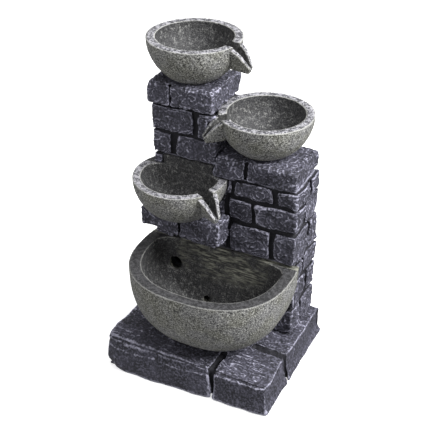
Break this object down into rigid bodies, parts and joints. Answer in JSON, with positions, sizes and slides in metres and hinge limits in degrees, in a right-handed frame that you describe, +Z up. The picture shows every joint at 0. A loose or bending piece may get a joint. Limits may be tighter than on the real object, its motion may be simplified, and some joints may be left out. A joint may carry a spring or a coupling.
{
  "type": "tabletop water fountain",
  "caption": "Tabletop fountain with stepped bowls on brick pedestals that pour from one to the next into a basin, with a pump behind a rear cover.",
  "frame": {"origin": "centre of the bounding box in plan, at the underside of the foot pads", "axes": "+Z up, +Y towards the back cover, +X to the right of someone who faces the basin"},
  "size_m": [0.212, 0.2046, 0.3938],
  "materials": {
    "slate_stone": "matt cast resin, dark blue-grey slate look with pale dry-brushed ridges",
    "granite_bowl": "matt cast resin, olive grey granite speckle with pale dry-brushed rims",
    "foot_rubber": "matt",
    "screw_steel": "satin",
    "black_rubber": "matt",
    "tub_plastic": "matt",
    "pump_plastic": "satin moulded",
    "hose_vinyl": "glossy translucent vinyl",
    "cover_resin": "matt textured resin",
    "stator_iron": "satin laminated",
    "coil_copper": "enamelled wire",
    "ferrite": "satin",
    "impeller_plastic": "satin moulded",
    "shaft_ceramic": "polished",
    "sponge_foam": "open-cell foam"
  },
  "bodies": {
    "fountain": {"base_slab": "slate_stone", "foot_pad_front_left": "foot_rubber", "foot_pad_front_right": "foot_rubber", "foot_pad_rear_left": "foot_rubber", "foot_pad_rear_right": "foot_rubber", "tower_shell": "slate_stone", "column_shell": "slate_stone", "top_capstone": "slate_stone", "right_capstone": "slate_stone", "ledge_capstone": "slate_stone", "top_bowl": "granite_bowl", "right_bowl": "granite_bowl", "left_bowl": "granite_bowl", "lower_basin": "granite_bowl", "pump_well": "tub_plastic", "inlet_nipple": "pump_plastic", "riser_hose": "hose_vinyl", "pump_housing": "pump_plastic", "pump_back_cap": "pump_plastic", "stator_core": "stator_iron", "stator_coil": "coil_copper", "rotor_shaft": "shaft_ceramic", "front_bush": "black_rubber", "rear_bush": "black_rubber", "pump_volute": "pump_plastic", "pump_strainer": "pump_plastic", "intake_sponge": "sponge_foam", "suction_cup_front_left": "black_rubber", "suction_cup_front_right": "black_rubber", "suction_cup_rear_left": "black_rubber", "suction_cup_rear_right": "black_rubber"},
    "rotor": {"rotor_magnet": "ferrite", "impeller": "impeller_plastic"},
    "flow_regulator": {"flow_slider": "pump_plastic"},
    "back_cover": {"rear_cover": "cover_resin", "cable_grommet": "black_rubber", "cover_screw_lower_left": "screw_steel", "cover_screw_lower_right": "screw_steel", "cover_screw_upper_left": "screw_steel", "cover_screw_upper_right": "screw_steel"}
  },
  "joints": [
    {"name": "rotor_spin", "type": "hinge", "parent": "fountain", "child": "rotor", "pos_m": [-0.05095, 0.055, 0.064], "axis": [0, 1, 0], "continuous": true},
    {"name": "flow_regulator_slide", "type": "slide", "parent": "fountain", "child": "flow_regulator", "axis": [0, 0, -1], "range_m": [0, 0.009]},
    {"name": "back_cover_removal", "type": "slide", "parent": "fountain", "child": "back_cover", "axis": [0, 1, 0], "range_m": [0, 0.06]}
  ]
}
